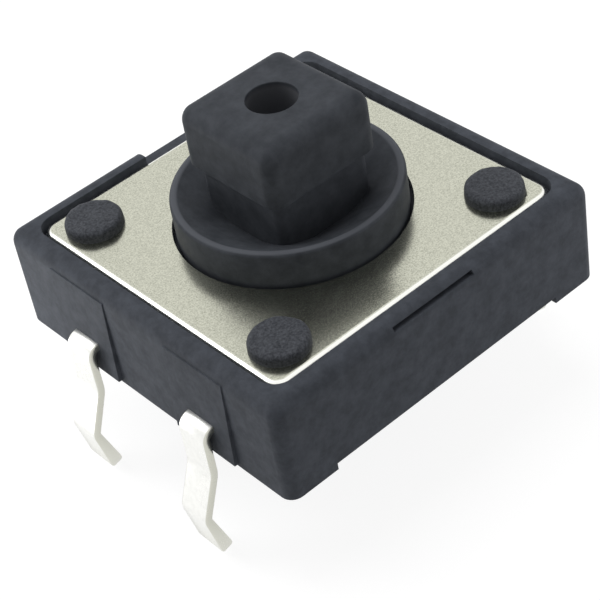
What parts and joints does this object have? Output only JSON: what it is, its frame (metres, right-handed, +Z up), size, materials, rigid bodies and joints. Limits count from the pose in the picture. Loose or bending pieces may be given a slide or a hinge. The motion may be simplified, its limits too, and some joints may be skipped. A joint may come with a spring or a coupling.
{
  "type": "board-mounted pushbutton switch",
  "caption": "Square through-hole push switch with a black moulded base, a staked steel cover plate and a round plunger with a square head for a push-fit cap.",
  "frame": {"origin": "centre of the four legs in the plane where the base's rails stand on the board", "axes": "+Z up along the plunger, out of its head; X across the walls that the legs leave through; -Y is the side with the gate slit under the rim"},
  "size_m": [0.0142, 0.012, 0.0108],
  "materials": {
    "black_housing": "fine-textured black moulded plastic",
    "black_plunger": "satin black moulded plastic",
    "plate_steel": "dull tinned steel sheet, slightly warm",
    "dome_steel": "bright spring steel",
    "tinned_leads": "bright tin plating"
  },
  "bodies": {
    "housing": {"base": "black_housing", "cover_plate": "plate_steel", "contact_dome": "dome_steel", "lead_frame_centre": "tinned_leads", "lead_frame_rim": "tinned_leads"},
    "button": {"plunger": "black_plunger"}
  },
  "joints": [
    {"name": "plunger_press", "type": "slide", "parent": "housing", "child": "button", "axis": [0, 0, -1], "range_m": [0, 0.0003], "stiffness_N_per_m": 5000, "springref_m": -0.0002, "deforming": ["contact_dome"]}
  ]
}
